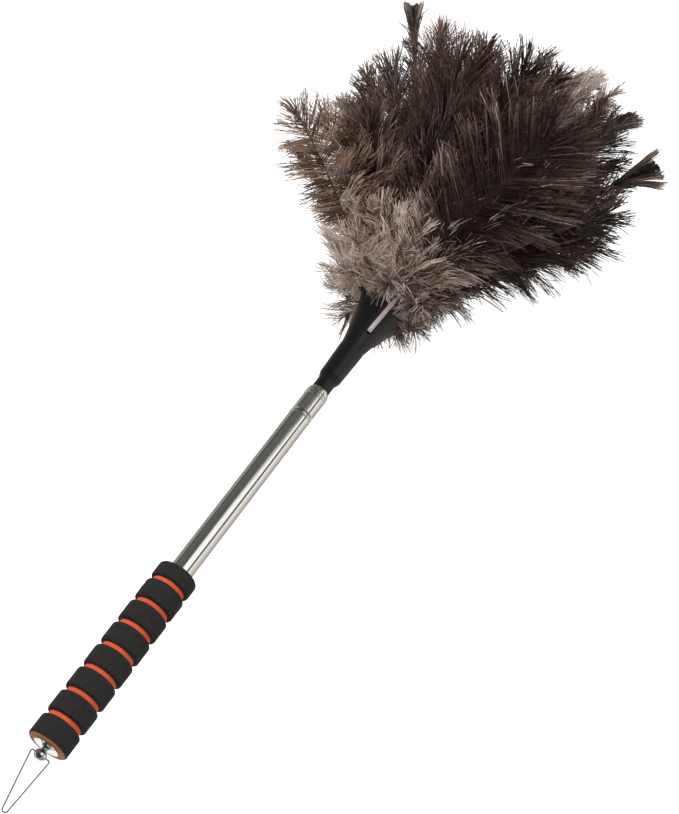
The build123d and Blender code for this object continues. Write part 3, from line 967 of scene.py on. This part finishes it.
# Worn tips, wisps and long soft tufts beside the feathers: tier, azimuth, lean, reach and
# width in millimetres, twist, growth, pale and warm.
extras = {
    "mid_feather_7": [("mid", 175, 27.2, 331, 17, 90, "stub", 0.02, 0.0)],
    "mid_feather_3": [
        ("mid", 0, 21.6, 346, 42, 90, "splay", 0.04, 0.0),
        ("mid", -20, 19, 282, 60, 40, "vane", 0.10, 0.0),
    ],
    "mid_feather_4": [
        ("mid", 26, 8, 379, 46, 30, "wisp", 0.74, 0.0),
        ("mid", 22, 24, 308, 70, 60, "vane", 0.12, 0.0),
    ],
    "top_feather_2": [
        ("top", -14, 12.5, 342, 34, 50, "splay", 0.05, 0.0),
        ("top", -28, 9.5, 322, 60, 40, "vane", 0.12, 0.2),
    ],
    "core_feather_2": [
        ("core", -20, 5, 352, 44, 20, "wisp", 0.82, 0.0),
        ("core", 20, 8, 346, 44, -30, "wisp", 0.80, 0.0),
    ],
    "top_feather_3": [
        ("top", 40, 3, 362, 66, 20, "wisp", 0.78, 0.0),
        ("top", 100, 4, 362, 60, -40, "wisp", 0.74, 0.0),
    ],
    "slot_feather_4": [
        ("rim", 200, 50, 172, 62, 30, "soft", 0.34, 0.2),
        ("rim", 195, 57, 186, 54, 15, "fringe", 0.50, 0.8),
        ("rim", 214, 52, 176, 56, 40, "soft", 0.30, 0.1),
        ("rim", 204, 49, 180, 62, -10, "soft", 0.26, 0.1),
    ],
    "down_feather_1": [
        ("down", -65, 42, 72, 44, 10, "brush", 0.52, 0.1),
        ("down", -40, 55, 62, 40, 70, "brush", 0.42, 0.1),
    ],
    "down_feather_6": [("down", 180, 62, 80, 54, 60, "brush", 0.96, 0.0)],
    "down_feather_7": [
        ("down", 204, 48, 92, 58, 10, "brush", 0.88, 0.0),
        ("down", 228, 34, 104, 60, 50, "brush", 0.55, 0.1),
    ],
    "down_feather_8": [
        ("down", 252, 22, 104, 56, 0, "brush", 0.50, 0.2),
        ("down", 246, 48, 84, 54, 40, "brush", 0.84, 0.0),
        ("down", 272, 38, 74, 44, -30, "brush", 0.66, 0.0),
    ],
}
# Painted shade for feathers deeper in a plume: the palest they may be, how much darker they are made,
# and the share of warmth they keep.
shaded_deep_pale = 0.36
deep_painted_shade = 0.02
shaded_deep_warmth = 0.3


def rows_of(name, tier, row):
    """A plume's own feather, its fellows and its extras, all as rows like those of extras."""
    azimuth, lean, reach, width, pale, warm, growth = row
    rows = [(tier, azimuth, lean, reach, width, 0, growth, pale, warm)]
    if tier != "down":
        # Painted shade: what lies deeper in the plume is made darker and less warm.
        pale = min(pale, shaded_deep_pale) - deep_painted_shade
        warm = warm * shaded_deep_warmth
    for inner, turn, tilt, stretch, slim, twist, growth in fellows.get(name, fellows[tier]):
        place = (azimuth + turn, lean + tilt, reach * stretch, width * slim, twist)
        rows.append((inner, *place, growth, pale, warm))
    return rows + extras.get(name, [])


# The rib ends this share of the vane's width short of the reach.
rib_ends_short = 0.38
# Ribs sway sideways, less where the reach in millimetres is short, and roll about themselves.
sway_size = 5 * mm
sway_bend = 2.2
full_sway_reach = 200
roll_size = 9
# The quill thins to the rib over a first share of its length, then to the tip.
rib_start_radius = 0.75 * mm
rib_tip_radius = 0.2 * mm
quill_fades_by = 0.08
# Tones of the quill and of the rib's root, then how many points past the quill the rib has
# its root's tone, and how many past it the rib is darkest.
pale_shaft = (0.95, 0.6)
dark_shaft = (0.25, 0.08)
root_points = 8
dark_points = 26
darkest_rib = 0.04


def feather(name, rows, seed):
    """One piece of feathers: the CAD plume's own, then those that fill the gap to the next."""
    chance = np.random.default_rng(seed)
    strands = Strands()
    shafts = []
    for tier, azimuth, lean, reach, width, twist, growth, pale, warm in rows:
        width *= mm
        outward = np.array([np.cos(np.radians(azimuth)), np.sin(np.radians(azimuth)), 0])
        side = np.array([-outward[1], outward[0], 0])
        stem, rib = stem_and_rib(tiers[tier], lean, reach * mm - width * rib_ends_short)
        line = lay_out(rib, outward)
        t = np.linspace(0, 1, len(line))
        in_front = name == front_feather and not shafts
        steady = in_front or growth in ("stub", "splay")
        sway = chance.normal(0, sway_size) * np.sin(t * sway_bend) ** 2
        sway = sway * min(1, reach / full_sway_reach) * (not steady)
        line = line + side * sway[:, None]
        roll = np.radians(twist if steady else chance.normal(twist, roll_size))
        middle = len(line) // 2
        over = np.cross(line[middle + 1] - line[middle], side)
        face = side * np.cos(roll) + over / np.linalg.norm(over) * np.sin(roll)
        barbs(strands, chance, line, face, width, pale, warm, **growths[growth])
        quill = tiers[tier]["quill"] / 2
        rib_radii = [quill, min(quill, rib_start_radius), rib_tip_radius]
        radii = np.concatenate([
            np.full(len(stem), quill),
            np.interp(t[1:], [0, quill_fades_by, 1], rib_radii),
        ])
        whole = np.concatenate([lay_out(stem, outward), line[1:]])
        shafts.append((whole, radii, len(stem), pale_shaft if in_front else dark_shaft))
    piece = bpy.data.objects.new(name, strands.mesh(name))
    bpy.context.scene.collection.objects.link(piece)
    piece.data.materials.append(feather_finish)
    join_shafts(piece, shafts)
    return piece


def join_shafts(piece, shafts):
    """Adds the quills and ribs to a feather's mesh, in their own finish."""
    made = []
    for line, radii, bare, (quill_tone, rib_tone) in shafts:
        points, faces = tube(line, radii)
        mesh = bpy.data.meshes.new("shaft")
        mesh.from_pydata(points.tolist(), [], faces)
        stops = [0, bare, bare + root_points, bare + dark_points]
        tones = np.interp(np.arange(len(line)), stops, [quill_tone, quill_tone, rib_tone, darkest_rib])
        marks = np.zeros((len(line), sides, 4))
        marks[:, :, 0] = tones[:, None]
        colour = mesh.attributes.new("strand", "FLOAT_COLOR", "POINT")
        colour.data.foreach_set("color", marks.astype(np.float32).ravel())
        mesh.shade_smooth()
        mesh.materials.append(horn)
        shaft_piece = bpy.data.objects.new("shaft", mesh)
        bpy.context.scene.collection.objects.link(shaft_piece)
        made.append(shaft_piece)
    bpy.ops.object.select_all(action="DESELECT")
    for shaft_piece in made:
        shaft_piece.select_set(True)
    piece.select_set(True)
    bpy.context.view_layer.objects.active = piece
    bpy.ops.object.join()


seed = 4100
for tier, rows in feathers.items():
    for number, row in enumerate(rows, start=1):
        seed += 1
        name = f"{tier}_feather_{number}"
        piece = feather(name, rows_of(name, tier, row), seed)
        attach(piece, "head")
        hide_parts(f"{tier}_plume_{number}")


# ================================================================ studio
white = (1, 1, 1, 1)
board_glow = 0.78


def white_board(name):
    """A pale board that shows white to the camera and takes a faint shadow. In gloss the
    studio's own white windows stand there, so the board is clear."""
    f = new_finish(name)
    ray = f.node("LightPath", {}, out="Is Camera Ray")
    gloss = f.node("LightPath", {}, out="Is Glossy Ray")
    glow = f.node("Emission", {}, white, ray * board_glow)
    card = f.node("BsdfDiffuse", {}, (0.8, 0.8, 0.8, 1))
    lit = f.node("AddShader", {}, glow, card)
    clear = f.node("BsdfTransparent", {})
    behind = f.node("NewGeometry", {}, out="Backfacing")
    hidden = (behind + gloss).clamp()
    whole = f.node("MixShader", {}, hidden, lit, clear)
    f.node("OutputMaterial", {}, whole)
    return f.block


def board(name, size, location, rotation):
    """A square board of the studio, which is no part of the object."""
    bpy.ops.object.select_all(action="DESELECT")
    bpy.ops.mesh.primitive_plane_add(size=size, location=location, rotation=rotation)
    made = bpy.context.object
    made.name = name
    made.data.materials.append(white_board(name + "_paint"))


# Round the studio from behind, by the left and the front: the dark screens and the windows.
round_studio = [
    (0.0, (0.50, 0.48, 0.48, 1)),
    (0.13, (0.44, 0.44, 0.43, 1)),
    (0.15, (0.08, 0.08, 0.08, 1)),
    (0.175, (0.10, 0.10, 0.09, 1)),
    (0.19, (0.40, 0.42, 0.42, 1)),
    (0.215, (0.30, 0.32, 0.31, 1)),
    (0.23, (0.07, 0.07, 0.065, 1)),
    (0.32, (0.11, 0.11, 0.10, 1)),
    (0.42, (0.09, 0.09, 0.085, 1)),
    (0.465, (0.07, 0.07, 0.065, 1)),
    (0.492, (0.98, 1.0, 0.95, 1)),
    (0.606, (0.98, 1.0, 0.95, 1)),
    (0.613, (0.06, 0.06, 0.05, 1)),
    (0.652, (0.06, 0.06, 0.05, 1)),
    (0.662, (0.84, 0.82, 0.79, 1)),
    (0.70, (0.78, 0.74, 0.71, 1)),
    (0.76, (0.60, 0.54, 0.52, 1)),
    (0.86, (0.32, 0.28, 0.28, 1)),
    (0.93, (0.42, 0.38, 0.38, 1)),
    (1.0, (0.50, 0.48, 0.48, 1)),
]
# Below, the dark room in front of the table, and the white table behind.
under_studio = [
    (0.0, (0.85, 0.85, 0.82, 1)),
    (0.10, (0.90, 0.92, 0.88, 1)),
    (0.16, (0.22, 0.23, 0.20, 1)),
    (0.22, (0.60, 0.62, 0.58, 1)),
    (0.27, (0.10, 0.10, 0.10, 1)),
    (0.40, (0.03, 0.03, 0.03, 1)),
    (0.60, (0.05, 0.05, 0.05, 1)),
    (0.70, (0.30, 0.30, 0.28, 1)),
    (0.76, (0.10, 0.10, 0.09, 1)),
    (0.82, (0.62, 0.60, 0.56, 1)),
    (0.90, (0.95, 0.95, 0.92, 1)),
    (1.0, (0.85, 0.85, 0.82, 1)),
]
# The dark screen's reach towards the window: the height where it starts, its slope and its
# most, and where round the studio it starts and how fast it eases in. The screens give way
# to what is below over a narrow band at the horizon.
window_edge = 0.603
reach_from = 0.42
reach_slope = 1.6
longest_reach = 0.09
reach_starts = 0.25
reach_eases = 6
horizon = 0.05
horizon_blend = 6
# How bright the studio is as plain light, and in gloss.
plain_light = 0.32
mirrored_light = 1.5


def studio_world():
    """White to the camera. In gloss, windows and dark screens stand round the object."""
    f = Finish(bpy.context.scene.world or bpy.data.worlds.new("studio"))
    bpy.context.scene.world = f.block
    x = f.node("SeparateXYZ", {}, f.node("TexCoord", {}, out="Generated"))
    y = x.sibling("Y")
    z = x.sibling("Z")
    # From 0 to 1 round the studio, with 0.5 in front of the object.
    turn = f.node("Math", {"operation": "ARCTAN2"}, x, 0 - y) * (1 / full_turn) + 0.5
    # Higher up, the dark screen on the left reaches further round, up to the window's edge.
    reach = ((z - reach_from) * reach_slope).clamp().math("MINIMUM", longest_reach)
    reach = reach * ((turn - reach_starts) * reach_eases).clamp() * (1 - (turn > window_edge))
    screens = f.node("ValToRGB", {"stops": round_studio}, turn - reach)
    below = f.node("ValToRGB", {"stops": under_studio}, turn)
    screens = f.mix((horizon - z * horizon_blend).clamp(), screens, below)
    plain = f.node("Background", {}, white, plain_light)
    mirrored = f.node("Background", {}, screens, mirrored_light)
    seen = f.node("Background", {}, white, 1.0)
    gloss = f.node("LightPath", {}, out="Is Glossy Ray")
    eye = f.node("LightPath", {}, out="Is Camera Ray")
    light = f.node("MixShader", {}, gloss, plain, mirrored)
    whole = f.node("MixShader", {}, eye, light, seen)
    f.node("OutputWorld", {}, whole)


def lamp(name, location, size, power):
    """A round lamp that shines on the plumes and stays out of the gloss."""
    light = bpy.data.lights.new(name, "AREA")
    light.shape = "DISK"
    light.size = size
    light.energy = power
    made = bpy.data.objects.new(name, light)
    made.location = location
    aim = Vector(plume_middle) - Vector(location)
    made.rotation_euler = aim.to_track_quat("-Z", "Y").to_euler()
    made.visible_glossy = False
    bpy.context.scene.collection.objects.link(made)


studio_world()
low_corner, high_corner = cad_box
floor_height = low_corner[2] - 0.5 * mm
backdrop_place = high_corner[1] + 20 * mm
board("floor", 1.6, (0, 0, floor_height), (0, 0, 0))
board("backdrop", 3.0, (0, backdrop_place, 0.3), (radians(90), 0, 0))
plume_middle = (0, 0, 0.5)
lamp("window", (-1.3, -1.3, 0.75), size=0.7, power=21)
lamp("fill", (1.5, -1.1, 0.5), size=1.2, power=6)
lamp("top_light", (0.1, 0.4, 2.1), size=1.0, power=11)

# The camera looks up along the pole from beside the hanging loop, tilted on its side.
view_place = (0, -1.2724, -0.4372)
view_turn = -0.93
view_rise = 29.5
view_roll = 37.08
camera_data = bpy.data.cameras.new("camera")
camera_data.lens = 79.6
camera = bpy.data.objects.new("camera", camera_data)
camera.matrix_world = (
    Matrix.Translation(view_place)
    @ Matrix.Rotation(radians(view_turn), 4, "Z")
    @ Matrix.Rotation(radians(90 + view_rise), 4, "X")
    @ Matrix.Rotation(radians(view_roll), 4, "Z")
)
bpy.context.scene.collection.objects.link(camera)
bpy.context.scene.camera = camera
bpy.context.scene.view_settings.view_transform = "Standard"

bpy.context.view_layer.update()
